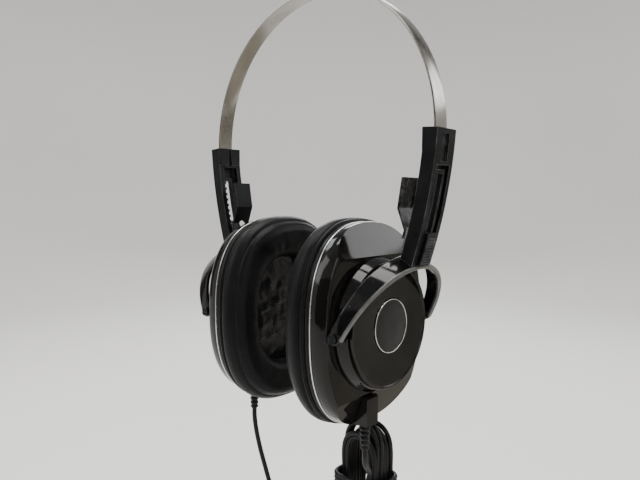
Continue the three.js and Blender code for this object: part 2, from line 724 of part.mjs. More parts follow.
// A strap round the hank's waist that also takes in the left branch.
function cordTie() {
  const [x0, x1] = HANK_X;
  const rear = HANK_Y[1] + GAP;
  const wall = 1;
  const [z0, z1] = TIE_Z;
  const inside = box(x0 - GAP, x1 + GAP, TIE_FRONT, rear, z0 - 5, z1 + 5);
  const outside = box(x0 - GAP - wall, x1 + GAP + wall, TIE_FRONT - wall, rear + wall, z0, z1);
  return cut(outside, inside);
}

// The moulded split: two branches in at the top, the main cord out at the bottom.
function ySplit() {
  const outline = [[-5, -411], [5, -411], [5, -420], [2.6, -433], [-2.6, -433], [-5, -420]];
  return slabY(outline, 5.6, 10.4);
}

const PLUG_X = 34.6;
const PLUG_Y = 18;
const PLUG_TOP = -339;
const PIN_BODY = 3.17; // a 6.35 mm jack plug
const PIN_TIP = 3.1;

function plugGrip() {
  const low = PLUG_TOP - 36;
  const profile = [
    [0, low], [6.4, low], [6.6, low + 4], [6.2, low + 20], [4.6, low + 26],
    [2.6, PLUG_TOP], [0, PLUG_TOP],
  ];
  return turnedZ(profile, PLUG_X, PLUG_Y, 12);
}

function plugPin() {
  const top = PLUG_TOP - 36 - GAP;
  const profile = [
    [0, top - 31], [1.2, top - 31], [PIN_TIP, top - 28.4], [2.3, top - 26.6],
    [PIN_BODY, top - 25], [PIN_BODY, top], [0, top],
  ];
  return turnedZ(profile, PLUG_X, PLUG_Y, 12);
}

function makeSide(side, mirror) {
  const group = new THREE.Group();
  group.scale.x = mirror;
  root.add(group);
  const add = (name, manifold, material) => addMesh(group, `${side}_${name}`, manifold, material);
  add("arm", arm(), satinBlack);
  add("band_rivet", bandRivet(), satinBlack);
  add("slider_grip", sliderGrip(), satinBlack);
  add("slider_plate", sliderPlate(), nickel);
  add("slider_screw", sliderScrew(), nickel);
  add("detent_spring", detentSpring(), nickel);
  add("strap_tab", strapTab(), satinBlack);
  add("yoke", yoke(), yokeGrey);
  add("front_pivot_screw", pivotScrew(-1), satinBlack);
  add("rear_pivot_screw", pivotScrew(1), satinBlack);

  add("cup_shell", cupShell(), glossBlack);
  add("boss_housing", bossHousing(), glossBlack);
  add("boss_cap", bossCap(), glossBlack);
  add("badge_ring", badgeRing(), silverTrim);
  add("badge_insert", badgeInsert(), badgeBlack);
  add("trim_ring", trimRing(), silverTrim);
  add("pad_frame", padFrame(), satinBlack);
  add("baffle", baffle(), satinBlack);
  add("driver_basket", driverBasket(), nickel);
  add("driver_cone", driverCone(), paper);
  add("driver_magnet", driverMagnet(), magnetGrey);
  add("dust_cloth", dustCloth(), cloth);
  add("ear_pad", earPad(), vinyl);
  add("cord_block", cordBlock(), glossBlack);
  add("strain_relief", strainRelief(), rubber);
}

addMesh(root, "headband_strip", headbandStrip(), steel);
makeSide("left", 1);
makeSide("right", -1);
addMesh(root, "left_branch_cord", cordTube(LEFT_ROUTE, 32), rubber);
addMesh(root, "right_branch_cord", cordTube(RIGHT_ROUTE, 30), rubber);
addMesh(root, "y_split", ySplit(), rubber);
addMesh(root, "main_cord", cordTube(MAIN_ROUTE, 30), rubber);
addMesh(root, "cord_hank", cordHank(), rubber);
addMesh(root, "cord_tie", cordTie(), rubber);
addMesh(root, "plug_cord", cordTube(TAIL_ROUTE, 8), rubber);
addMesh(root, "plug_grip", plugGrip(), satinBlack);
addMesh(root, "plug_pin", plugPin(), nickel);

export default root;
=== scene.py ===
import math
import random

import bmesh
import bpy
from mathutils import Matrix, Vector, noise


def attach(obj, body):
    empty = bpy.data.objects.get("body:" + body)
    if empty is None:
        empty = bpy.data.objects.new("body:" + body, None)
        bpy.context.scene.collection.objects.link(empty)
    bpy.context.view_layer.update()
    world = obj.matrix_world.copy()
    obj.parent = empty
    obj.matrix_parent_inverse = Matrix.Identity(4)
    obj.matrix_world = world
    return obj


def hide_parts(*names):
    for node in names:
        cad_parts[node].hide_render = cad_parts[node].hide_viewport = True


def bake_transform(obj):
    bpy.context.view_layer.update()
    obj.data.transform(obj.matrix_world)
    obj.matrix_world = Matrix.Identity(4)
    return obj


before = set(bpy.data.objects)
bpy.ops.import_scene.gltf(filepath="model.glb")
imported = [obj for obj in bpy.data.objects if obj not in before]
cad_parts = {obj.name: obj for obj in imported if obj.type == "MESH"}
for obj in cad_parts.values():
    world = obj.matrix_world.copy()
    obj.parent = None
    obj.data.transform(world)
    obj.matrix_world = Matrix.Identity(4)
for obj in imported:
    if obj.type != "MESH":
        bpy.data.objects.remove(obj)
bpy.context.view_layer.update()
MM = 0.001

# ---------------------------------------------------------------- dimensions, millimetres
BAND_RADIUS, BAND_THICK, BAND_WIDTH, BAND_TAIL = 77.0, 1.0, 10.0, 12.0
CUP_Z = -171.3
PIVOT_X, PIVOT_Z = 47.2, -171.7
YOKE_TILT, YOKE_RADIUS, RIBBON_THICK, RIBBON_OUT = 29.0, 36.3, 2.2, 3.6
BEAD_RADIUS, BEAD_AT, BEAD_X = 1.3, 37.2, 3.0
EAR_THICK, EAR_RADIUS = 2.6, 3.1
OVAL, OVAL_POWER = 0.805, 2.5
FACE_X, FACE_HALF, TRIM_X, TRIM_HALF, TRIM_THICK = 44.0, 48.8, 35.1, 51.2, 0.7
PAD_X, PAD_HALF, PAD_FACE_X, PAD_HOLE_HALF, PAD_SEAT, PAD_BASE = 25.7, 53.0, 15.0, 30.0, 40.5, 28.0
BOSS_BASE, BOSS_TOP, DISC_X, BADGE_RADIUS = 34.0, 31.0, 51.6, 13.5
CORD_RADIUS, CORD_Y = 1.4, -8.0
RELIEF_X, RELIEF_TOP, RELIEF_LOW, RELIEF_RIBS, NECK_TOP = 42.0, -221.5, -234.0, 5, -215.5
GAP = 0.3
SLOPE_START, SLOPE_DROP, SLOPE_END, WALL, BADGE_RIM = 34.3, 7.6, 54.0, 2.2, 0.55
HANK_X, HANK_Y, HANK_TOP, HANK_LOW = (9.0, 36.0), (11.0, 28.5), -229.0, -302.5
TIE_Z, TIE_FRONT = (-270.0, -262.0), 7.3
PLUG_X, PLUG_Y, PLUG_TOP = 34.6, 18.0, -339.0
SPLIT_Y = 8.0
BLEND_DROP = 90.0
TIE_RADIUS, TIE_PITCH, TIE_WRAPS = 1.25, 2.65, 3
LUG_RADIUS, LUG_FROM, LUG_TO = 2.6, 28.0, 35.1
FILM_FACE, FILM_BACK, FILM_RADIUS, FILM_FOLD = 28.7, 29.2, 38.0, 0.8
CAP_BASE, CAP_LIP, BADGE_FLOOR = DISC_X - 1.5, DISC_X + 0.6, DISC_X - 0.8
PAD_FOLDS_TO = 27.0


# ---------------------------------------------------------------- camera
def make_camera():
    data = bpy.data.cameras.new("camera")
    data.lens, data.sensor_width = 31.0, 36.0
    data.clip_start, data.clip_end = 0.01, 20.0
    camera = bpy.data.objects.new("camera", data)
    bpy.context.scene.collection.objects.link(camera)
    camera.location = (0.2063, -0.2220, -0.1103)
    heading, pitch = math.radians(132.307), math.radians(-3.96)
    level = math.cos(pitch)
    forward = Vector((math.cos(heading) * level, math.sin(heading) * level, math.sin(pitch)))
    camera.rotation_mode = "QUATERNION"
    camera.rotation_quaternion = forward.to_track_quat("-Z", "Y")
    bpy.context.scene.camera = camera


make_camera()


# ---------------------------------------------------------------- mesh helpers
def curve_through(points, per_span=8):
    """A centripetal Catmull-Rom line through the points."""
    p = [Vector(q) for q in points]
    p = [2 * p[0] - p[1]] + p + [2 * p[-1] - p[-2]]
    line = []
    for i in range(1, len(p) - 2):
        a, b, c, d = p[i - 1 : i + 3]
        t0 = 0.0
        t1 = t0 + (b - a).length ** 0.5
        t2 = t1 + (c - b).length ** 0.5
        t3 = t2 + (d - c).length ** 0.5
        for k in range(per_span):
            t = t1 + (t2 - t1) * k / per_span
            a1 = a * ((t1 - t) / (t1 - t0)) + b * ((t - t0) / (t1 - t0))
            a2 = b * ((t2 - t) / (t2 - t1)) + c * ((t - t1) / (t2 - t1))
            a3 = c * ((t3 - t) / (t3 - t2)) + d * ((t - t2) / (t3 - t2))
            b1 = a1 * ((t2 - t) / (t2 - t0)) + a2 * ((t - t0) / (t2 - t0))
            b2 = a2 * ((t3 - t) / (t3 - t1)) + a3 * ((t - t1) / (t3 - t1))
            line.append(b1 * ((t2 - t) / (t2 - t1)) + b2 * ((t - t1) / (t2 - t1)))
    line.append(p[-2])
    return line


def rounded(points, radius, steps=3, closed=True):
    """The outline with each corner replaced by a small curve."""
    made = []
    count = len(points)
    for i, (x, y) in enumerate(points):
        if not closed and i in (0, count - 1):
            made.append((x, y))
            continue
        p = Vector((x, y))
        a, b = Vector(points[i - 1]), Vector(points[(i + 1) % count])
        ra = min(radius, 0.45 * (a - p).length)
        rb = min(radius, 0.45 * (b - p).length)
        start, end = p + (a - p).normalized() * ra, p + (b - p).normalized() * rb
        for k in range(steps + 1):
            t = k / steps
            q = start * (1 - t) ** 2 + p * 2 * t * (1 - t) + end * t * t
            made.append((q.x, q.y))
    return made


def skin(rings, loop=False, caps=True):
    """Faces between rings of points, each ring closed; loop joins the last ring to the first."""
    size = len(rings[0])
    verts = [tuple(p) for ring in rings for p in ring]
    faces = []
    spans = len(rings) if loop else len(rings) - 1
    for i in range(spans):
        a, b = i * size, ((i + 1) % len(rings)) * size
        for k in range(size):
            n = (k + 1) % size
            faces.append((a + k, a + n, b + n, b + k))
    if caps and not loop:
        faces.append(tuple(range(size)))
        faces.append(tuple(range((len(rings) - 1) * size, len(rings) * size)))
    return verts, faces


def oval_scale(c, s, oval):
    if oval == 1:
        return 1.0
    return (abs(c / oval) ** OVAL_POWER + abs(s) ** OVAL_POWER) ** (-1 / OVAL_POWER)


def lathe_x(profile, oval=1.0, segments=144, z=CUP_Z):
    """A closed profile of (radius, x) turned about the cup's axis."""
    rings = []
    for i in range(segments):
        a = 2 * math.pi * i / segments
        c, s = math.cos(a), math.sin(a)
        k = oval_scale(c, s, oval)
        rings.append([(x, r * k * c, z + r * k * s) for r, x in profile])
    return skin(rings, loop=True)


def lathe_z(profile, x, y, segments=48):
    """A profile of (radius, z) from the axis to the axis, turned about an upright line."""
    rings = []
    for i in range(segments):
        a = 2 * math.pi * i / segments
        rings.append([(x + r * math.cos(a), y + r * math.sin(a), z) for r, z in profile])
    return skin(rings, loop=True)


def rod_y(radius, y0, y1, x, z, segments=32, soft=0.3):
    rings = []
    sign = 1 if y1 > y0 else -1
    edge = sign * soft
    stations = [(radius - soft, y0), (radius, y0 + edge), (radius, y1 - edge), (radius - soft, y1)]
    for r, y in stations:
        ring = []
        for i in range(segments):
            a = 2 * math.pi * i / segments
            ring.append((x + r * math.cos(a), y, z + r * math.sin(a)))
        rings.append(ring)
    return skin(rings)


def frames_along(line, closed=False):
    """Origin, side and up at each point of a line, turned as little as possible along it."""
    count = len(line)
    made = []
    side = None
    for i, p in enumerate(line):
        a = line[i - 1] if (i or closed) else line[0]
        b = line[(i + 1) % count] if (i < count - 1 or closed) else line[-1]
        t = (b - a).normalized()
        if side is None:
            side = t.orthogonal().normalized()
        side = (side - t * side.dot(t)).normalized()
        made.append((p, side, t.cross(side)))
    return made


def tube(line, radius, sides=12, closed=False):
    rings = []
    for p, u, v in frames_along(line, closed):
        ring = []
        for k in range(sides):
            a = 2 * math.pi * k / sides
            ring.append(p + (u * math.cos(a) + v * math.sin(a)) * radius)
        rings.append(ring)
    return skin(rings, loop=closed)


def mirrored(part):
    verts, faces = part
    return [(-v[0], v[1], v[2]) for v in verts], [tuple(reversed(f)) for f in faces]


def build(name, parts, material, body=None, nodes=(), sharp=38.0):
    """One object from closed shells, welded, with smooth faces and its corners kept."""
    mesh = bpy.data.meshes.new(name)
    verts, faces = [], []
    for v, f in parts:
        base = len(verts)
        verts += [tuple(c * MM for c in p) for p in v]
        faces += [tuple(i + base for i in q) for q in f]
    mesh.from_pydata(verts, [], faces)
    bm = bmesh.new()
    bm.from_mesh(mesh)
    bmesh.ops.remove_doubles(bm, verts=bm.verts, dist=1e-6)
    bmesh.ops.dissolve_degenerate(bm, edges=bm.edges, dist=1e-7)
    bmesh.ops.recalc_face_normals(bm, faces=bm.faces)
    bm.to_mesh(mesh)
    bm.free()
    mesh.polygons.foreach_set("use_smooth", [True] * len(mesh.polygons))
    mesh.set_sharp_from_angle(angle=math.radians(sharp))
    obj = bpy.data.objects.new(name, mesh)
    bpy.context.scene.collection.objects.link(obj)
    mesh.materials.append(material)
    if body:
        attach(obj, body)
    if nodes:
        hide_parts(*nodes)
    return obj


# ---------------------------------------------------------------- materials
class Nodes:
    """A short way to write a material's node tree."""

    def __init__(self, name):
        self.material = bpy.data.materials.new(name)
        self.material.use_nodes = True
        self.tree = self.material.node_tree
        self.shader = self.tree.nodes["Principled BSDF"]
        self.coords = self.tree.nodes.new("ShaderNodeTexCoord").outputs["Object"]

    def link(self, a, b):
        self.tree.links.new(a, b)

    def stretched(self, scale):
        node = self.tree.nodes.new("ShaderNodeMapping")
        node.inputs["Scale"].default_value = scale
        self.link(self.coords, node.inputs["Vector"])
        return node.outputs["Vector"]

    def noise(self, scale, detail=4.0, rough=0.55, vector=None, distortion=0.0):
        node = self.tree.nodes.new("ShaderNodeTexNoise")
        node.inputs["Scale"].default_value = scale
        node.inputs["Detail"].default_value = detail
        node.inputs["Roughness"].default_value = rough
        node.inputs["Distortion"].default_value = distortion
        self.link(vector or self.coords, node.inputs["Vector"])
        return node.outputs["Fac"]

    def cells(self, scale, feature="F1", vector=None):
        node = self.tree.nodes.new("ShaderNodeTexVoronoi")
        node.feature = feature
        node.inputs["Scale"].default_value = scale
        self.link(vector or self.coords, node.inputs["Vector"])
        return node.outputs["Distance"]

    def span(self, value, low, high, from_low=0.0, from_high=1.0):
        node = self.tree.nodes.new("ShaderNodeMapRange")
        node.inputs["From Min"].default_value = from_low
        node.inputs["From Max"].default_value = from_high
        node.inputs["To Min"].default_value = low
        node.inputs["To Max"].default_value = high
        self.link(value, node.inputs["Value"])
        return node.outputs["Result"]

    def math(self, operation, a, b):
        node = self.tree.nodes.new("ShaderNodeMath")
        node.operation = operation
        for socket, value in zip(node.inputs, (a, b)):
            if isinstance(value, (int, float)):
                socket.default_value = value
            else:
                self.link(value, socket)
        return node.outputs[0]

    def mix(self, factor, a, b):
        node = self.tree.nodes.new("ShaderNodeMix")
        node.data_type = "RGBA"
        if isinstance(factor, (int, float)):
            node.inputs[0].default_value = factor
        else:
            self.link(factor, node.inputs[0])
        for socket, value in ((node.inputs[6], a), (node.inputs[7], b)):
            if isinstance(value, tuple):
                socket.default_value = (*value, 1.0)
            else:
                self.link(value, socket)
        return node.outputs[2]

    def bump(self, height, strength, distance, normal=None):
        node = self.tree.nodes.new("ShaderNodeBump")
        node.inputs["Strength"].default_value = strength
        node.inputs["Distance"].default_value = distance
        self.link(height, node.inputs["Height"])
        if normal is not None:
            self.link(normal, node.inputs["Normal"])
        return node.outputs["Normal"]

    def edges(self, radius):
        """1 near a hard edge and 0 on a flat: how far a rounded normal leans from the true one."""
        bevel = self.tree.nodes.new("ShaderNodeBevel")
        bevel.samples = 4
        bevel.inputs["Radius"].default_value = radius
        geometry = self.tree.nodes.new("ShaderNodeNewGeometry")
        dot = self.tree.nodes.new("ShaderNodeVectorMath")
        dot.operation = "DOT_PRODUCT"
        self.link(bevel.outputs["Normal"], dot.inputs[0])
        self.link(geometry.outputs["True Normal"], dot.inputs[1])
        return self.span(dot.outputs["Value"], 1.0, 0.0, 0.80, 0.985)

    def finish(self, color=None, roughness=None, normal=None, metallic=0.0, specular=0.5):
        inputs = self.shader.inputs
        for socket, value in (("Base Color", color), ("Roughness", roughness), ("Normal", normal)):
            if value is None:
                continue
            if isinstance(value, tuple):
                inputs[socket].default_value = (*value, 1.0)
            elif isinstance(value, (int, float)):
                inputs[socket].default_value = value
            else:
                self.link(value, inputs[socket])
        inputs["Metallic"].default_value = metallic
        inputs["Specular IOR Level"].default_value = specular
        return self.material


def chrome_band():
    m = Nodes("band_steel")
    smear = m.noise(26.0, 5.0, 0.6, distortion=0.8)
    scratch = m.noise(1.0, 3.0, 0.7, m.stretched((350.0, 2600.0, 350.0)))
    spots = m.noise(900.0, 2.0, 0.5)
    color = m.mix(m.span(smear, 0.0, 1.0, 0.35, 0.7), (0.34, 0.325, 0.30), (0.21, 0.197, 0.178))
    color = m.mix(m.span(spots, 0.0, 0.35, 0.70, 0.76), color, (0.22, 0.20, 0.17))
    rough = m.math("ADD", m.span(smear, 0.10, 0.26, 0.3, 0.7), m.span(scratch, 0.0, 0.08, 0.4, 0.7))
    return m.finish(color, rough, m.bump(scratch, 0.12, 0.00003), metallic=1.0)


# worn is the colour the edges are lifted to: partly rubbed wear, partly a painted highlight along every edge.
def satin_black(name="satin_black", worn=0.10, mottle=0.0):
    m = Nodes(name)
    grain = m.noise(2600.0, 3.0, 0.6)
    cloud = m.noise(70.0, 4.0, 0.6)
    dust = m.noise(1500.0, 2.0, 0.5)
    # Painted highlight: edges are painted lighter in patches, standing partly for rubbed wear and partly for
    # the light that edges catch.
    edge_wear_and_highlight = m.math("MULTIPLY", m.edges(0.0005), m.span(m.noise(160.0, 5.0, 0.7), 0.1, 1.0, 0.38, 0.66))
    color = m.mix(m.span(cloud, 0.0, 1.0, 0.3, 0.7), (0.0033, 0.0036, 0.0042), (0.0075, 0.0082, 0.0092))
    color = m.mix(m.span(dust, 0.0, 0.35, 0.70, 0.77), color, (0.075, 0.075, 0.073))
    color = m.mix(edge_wear_and_highlight, color, (worn, worn, worn * 1.03))
    if mottle:
        patches = m.noise(300.0, 6.0, 0.75, distortion=0.5)
        color = m.mix(m.span(patches, 0.0, mottle, 0.46, 0.62), color, (0.10, 0.10, 0.09))
    rough = m.math("ADD", m.span(cloud, 0.24, 0.36, 0.3, 0.7), m.span(grain, 0.0, 0.06, 0.3, 0.7))
    return m.finish(color, rough, m.bump(grain, 0.25, 0.00004), specular=0.12)


def gloss_black(name, tint=(0.0045, 0.004, 0.0036), rough_low=0.035, rough_high=0.10, specular=0.27):
    m = Nodes(name)
    smudge = m.noise(34.0, 5.0, 0.62, distortion=1.2)
    hair = m.noise(1.0, 2.0, 0.6, m.stretched((240.0, 2100.0, 420.0)))
    dust = m.noise(1300.0, 1.5, 0.5)
    orange_peel = m.noise(210.0, 2.0, 0.5)
    color = m.mix(m.span(dust, 0.0, 0.5, 0.72, 0.80), tint, (0.13, 0.125, 0.12))
    color = m.mix(m.span(smudge, 0.0, 0.45, 0.5, 0.8), color, (0.018, 0.0165, 0.015))
    rough = m.math("ADD", m.span(smudge, rough_low, rough_high, 0.35, 0.7), m.span(hair, 0.0, 0.05, 0.6, 0.7))
    normal = m.bump(hair, 0.05, 0.00002, m.bump(orange_peel, 0.04, 0.0001))
    return m.finish(color, rough, normal, specular=specular)


def grey_bead():
    m = Nodes("bead_grey")
    cloud = m.noise(90.0, 4.0, 0.6)
    worn = m.noise(420.0, 5.0, 0.7)
    color = m.mix(m.span(cloud, 0.0, 1.0, 0.35, 0.65), (0.09, 0.09, 0.088), (0.14, 0.14, 0.135))
    color = m.mix(m.span(worn, 0.0, 0.7, 0.60, 0.70), color, (0.07, 0.07, 0.068))
    return m.finish(color, m.span(cloud, 0.26, 0.42, 0.3, 0.7), m.bump(worn, 0.12, 0.00005), metallic=0.55)


def metal(name, light, dark, rough=(0.22, 0.42), grain=(700.0, 700.0, 700.0)):
    m = Nodes(name)
    cloud = m.noise(120.0, 4.0, 0.6)
    brushed = m.noise(1.0, 3.0, 0.7, m.stretched(grain))
    spots = m.noise(1400.0, 2.0, 0.5)
    color = m.mix(m.span(cloud, 0.0, 1.0, 0.3, 0.7), light, dark)
    color = m.mix(m.span(spots, 0.0, 0.6, 0.67, 0.73), color, tuple(c * 0.35 for c in dark))
    return m.finish(color, m.span(brushed, *rough, 0.3, 0.7), m.bump(brushed, 0.12, 0.00003), metallic=1.0)


def badge_black():
    m = Nodes("badge_black")
    grain = m.cells(2400.0)
    cloud = m.noise(150.0, 3.0, 0.6)
    color = m.mix(m.span(cloud, 0.0, 1.0, 0.3, 0.7), (0.010, 0.010, 0.0105), (0.018, 0.018, 0.0185))
    return m.finish(color, m.span(grain, 0.38, 0.56), m.bump(grain, 0.3, 0.00004), specular=0.25)


def vinyl():
    m = Nodes("pad_vinyl")
    pebble = m.cells(1150.0, "SMOOTH_F1")
    crease = m.cells(150.0, "DISTANCE_TO_EDGE")
    soft = m.noise(55.0, 4.0, 0.6, distortion=0.6)
    dust = m.noise(1200.0, 2.0, 0.5)
    color = m.mix(m.span(soft, 0.0, 1.0, 0.3, 0.7), (0.004, 0.004, 0.0045), (0.009, 0.009, 0.0095))
    color = m.mix(m.span(pebble, 0.0, 0.35, 0.5, 0.9), color, (0.004, 0.004, 0.004))
    color = m.mix(m.span(dust, 0.0, 0.35, 0.71, 0.78), color, (0.15, 0.145, 0.14))
    rough = m.math("ADD", m.span(soft, 0.30, 0.44, 0.3, 0.7), m.span(pebble, 0.0, 0.10))
    normal = m.bump(soft, 0.25, 0.0012)
    normal = m.bump(m.span(crease, 0.0, 1.0, 0.0, 0.10), 0.10, 0.0003, normal)
    normal = m.bump(pebble, 0.35, 0.00012, normal)
    return m.finish(color, rough, normal, specular=0.1)


def damping_film():
    m = Nodes("damping_film")
    weave = m.noise(3000.0, 2.0, 0.5)
    fold = m.noise(60.0, 5.0, 0.6, distortion=1.5)
    color = m.mix(m.span(fold, 0.0, 1.0, 0.3, 0.7), (0.006, 0.006, 0.0065), (0.014, 0.0135, 0.0135))
    rough = m.span(fold, 0.16, 0.34, 0.3, 0.7)
    return m.finish(color, rough, m.bump(weave, 0.15, 0.00004, m.bump(fold, 0.2, 0.0012)), specular=0.4)


def rubber(name="cord_rubber", color_low=(0.005, 0.005, 0.0055), color_high=(0.011, 0.011, 0.0115)):
    m = Nodes(name)
    cloud = m.noise(240.0, 4.0, 0.6)
    grain = m.noise(3200.0, 2.0, 0.6)
    dust = m.noise(1700.0, 2.0, 0.5)
    color = m.mix(m.span(cloud, 0.0, 1.0, 0.3, 0.7), color_low, color_high)
    color = m.mix(m.span(dust, 0.0, 0.45, 0.70, 0.78), color, (0.17, 0.165, 0.155))
    rough = m.math("ADD", m.span(cloud, 0.30, 0.46, 0.3, 0.7), m.span(grain, 0.0, 0.06))
    return m.finish(color, rough, m.bump(grain, 0.25, 0.00004), specular=0.2)


def cone_paper():
    m = Nodes("cone_paper")
    fibre = m.noise(1.0, 4.0, 0.7, m.stretched((500.0, 1500.0, 900.0)))
    color = m.mix(m.span(fibre, 0.0, 1.0, 0.3, 0.7), (0.03, 0.028, 0.026), (0.075, 0.07, 0.064))
    return m.finish(color, m.span(fibre, 0.75, 0.95), m.bump(fibre, 0.4, 0.00008))


def studio(name, low, high):
    m = Nodes(name)
    soft = m.noise(1.6, 3.0, 0.5)
    return m.finish(m.mix(soft, low, high), 0.85)


BAND = chrome_band()
SATIN = satin_black()
# Arms and slider grip get a stronger painted edge highlight on top of the rubbed wear.
RUBBED_EDGE_HIGHLIT = satin_black("rubbed_black_edge_highlit", 0.20)
MOTTLED = satin_black("mottled_black", 0.16, 0.55)
GLOSS = gloss_black("gloss_black", rough_high=0.13)
YOKE = gloss_black("yoke_gloss", (0.003, 0.003, 0.0033), 0.08, 0.17, 0.3)
BEAD = grey_bead()
NICKEL = metal("nickel", (0.36, 0.355, 0.345), (0.24, 0.235, 0.225))
SILVER = metal("silver_trim", (0.70, 0.70, 0.68), (0.54, 0.54, 0.52), (0.16, 0.30))
MAGNET = metal("magnet", (0.10, 0.10, 0.105), (0.06, 0.06, 0.062), (0.5, 0.7))
BADGE = badge_black()
VINYL = vinyl()
FILM = damping_film()
CORD = rubber()
PAPER = cone_paper()


# ---------------------------------------------------------------- cords
LEFT_ROUTE = [
    (42, -8, -234.3), (42, -8, -238), (41, -6.2, -243), (38.4, -0.4, -249), (35, 5.4, -254.4),
    (31.8, 8.5, -260), (29.6, 9.1, -266), (28, 9.1, -273), (26, 9, -286), (23.4, 8.9, -303),
    (19.6, 8.8, -326), (14.8, 8.6, -352), (9.6, 8.3, -377), (5, 8.1, -396), (3, 8, -405), (2.4, 8, -410.7),
]
RIGHT_ROUTE = [
    (-42, -8, -234.3), (-42, -8, -239), (-41.4, -7.6, -246), (-39.6, -6.2, -258), (-36, -3.6, -275),
    (-31, -0.6, -296), (-25, 2.4, -319), (-18.4, 4.8, -342), (-11.8, 6.6, -365), (-6.4, 7.6, -386),
    (-3.4, 8, -402), (-2.4, 8, -410.7),
]
MAIN_ROUTE = [
    (0, 8, -433.3), (0, 8, -439), (1.4, 8.8, -445), (5.6, 10.6, -449.6), (11, 13, -449.4), (15, 15, -445),
    (17, 16.2, -437), (18.2, 17, -425), (19.2, 17.6, -400), (20.2, 18, -372), (21, 18, -345),
    (21.6, 18, -322), (22, 18, -310), (22, 18, -302.8),
]
TAIL_ROUTE = [
    (31, 18, -301), (31.6, 18, -307), (32.8, 18, -314), (34, 18, -323), (34.6, 18, -331), (34.6, 18, -338.7),
]


def hank_turns():
    """The wound turns: out along the hank in wide turns, then back inside them in narrow ones."""
    x_mid = (HANK_X[0] + HANK_X[1]) / 2
    pitch = 2 * CORD_RADIUS + 0.15
    layers = 6
    wide = (HANK_X[1] - HANK_X[0]) / 2 - CORD_RADIUS - 0.1
    y_first = HANK_Y[0] + CORD_RADIUS + 0.1
    spread = random.Random(4)
    shapes = []
    shifts = [spread.uniform(-0.9, 0.9) for _ in range(layers)]
    for k in range(2 * layers):
        inner = k >= layers
        slot_y = 2 * layers - 1 - k if inner else k
        step_in = pitch if inner else 0.0
        top_drop, low_rise = (4.0, 2.0) if inner else (8.0, 4.0)
        shapes.append({
            "r": wide - 1.0 - step_in,
            "shift": shifts[slot_y],
            "y": y_first + pitch * slot_y,
            "top": HANK_TOP - CORD_RADIUS - step_in - spread.uniform(0.0, top_drop) - (3.0 if inner else 0.0),
            "low": HANK_LOW + CORD_RADIUS + step_in + spread.uniform(0.0, low_rise) + (2.5 if inner else 0.0),
            "lean": spread.uniform(-0.5, 0.5),
        })
    line = []
    steps = 48
    for k, here in enumerate(shapes):
        following = shapes[min(k + 1, len(shapes) - 1)]
        for i in range(steps):
            phase = i / steps
            blend = max(0.0, (phase - 0.70) / 0.30)
            blend = blend * blend * (3 - 2 * blend)
            now = {key: here[key] * (1 - blend) + following[key] * blend for key in here}
            line.append(stadium_point(x_mid, now, phase))
    return line


def stadium_point(x_mid, turn, phase):
    """A point of one turn; it starts at the middle of the lower fold and goes up the right side."""
    r, top, low = turn["r"], turn["top"] - turn["r"], turn["low"] + turn["r"]
    straight = top - low
    total = 2 * straight + 2 * math.pi * r
    s = phase * total
    quarter = math.pi * r / 2
    if s < quarter:
        a = s / r
        x, z = r * math.sin(a), low - r * math.cos(a)
    elif s < quarter + straight:
        x, z = r, low + (s - quarter)
    elif s < 3 * quarter + straight:
        a = (s - quarter - straight) / r
        x, z = r * math.cos(a), top + r * math.sin(a)
    elif s < 3 * quarter + 2 * straight:
        x, z = -r, top - (s - 3 * quarter - straight)
    else:
        a = (s - 3 * quarter - 2 * straight) / r
        x, z = -r * math.cos(a), low - r * math.sin(a)
    waist = 1 - 0.05 * math.exp(-(((z + 266) / 14) ** 2))
    bow = turn["lean"] * math.sin(math.pi * (z - low) / max(straight, 1.0))
    return Vector((x_mid + turn["shift"] + x * waist, turn["y"] + bow, z))


def resampled(line, step):
    """Points a fixed distance apart along a line, with a little smoothing of its corners."""
    for _ in range(4):
        line = [line[0]] + [(a + b * 2 + c) / 4 for a, b, c in zip(line, line[1:], line[2:])] + [line[-1]]
    made, left = [line[0]], step
    for a, b in zip(line, line[1:]):
        gap = (b - a).length
        while gap >= left:
            a = a + (b - a) * (left / gap)
            made.append(a.copy())
            gap = (b - a).length
            left = step
        left -= gap
    made.append(line[-1])
    return made


def make_split():
    rings = []
    stations = [
        (-411.0, 3.4, 1.6), (-411.6, 4.6, 2.2), (-413.0, 5.0, 2.4), (-419.5, 5.0, 2.4),
        (-424.0, 4.1, 2.4), (-429.0, 3.0, 2.3), (-432.4, 2.5, 2.2), (-433.0, 1.9, 1.7),
    ]
    for z, half_x, half_y in stations:
        ring = []
        for k in range(40):
            a = 2 * math.pi * k / 40
            c, s = math.cos(a), math.sin(a)
            x = half_x * math.copysign(abs(c) ** 0.6, c)
            y = SPLIT_Y + half_y * math.copysign(abs(s) ** 0.75, s)
            ring.append((x, y, z))
        rings.append(ring)
    return build("cord_split", [skin(rings)], CORD, "frame", ["y_split"])


def make_tie():
    """Three wraps of cord drawn round the bundle."""
    clear = GAP + 0.9
    x0, x1 = HANK_X[0] - clear, HANK_X[1] + clear
    y0, y1 = TIE_FRONT - 0.6, HANK_Y[1] + clear
    parts = []
    for i in range(TIE_WRAPS):
        z = TIE_Z[0] + 1.35 + TIE_PITCH * i
        corners = rounded([(x0, y0), (x1, y0), (x1, y1), (x0, y1)], 6.0, 8)
        loop = []
        for k, (x, y) in enumerate(corners):
            loop.append(Vector((x, y, z + 0.5 * math.sin(2 * math.pi * k / len(corners) + i))))
        dense = []
        for a, b in zip(loop, loop[1:] + loop[:1]):
            n = max(1, int((b - a).length / 2))
            dense += [a.lerp(b, j / n) for j in range(n)]
        parts.append(tube(dense, TIE_RADIUS, 12, closed=True))
    return build("cord_wraps", parts, CORD, "frame", ["cord_tie"])


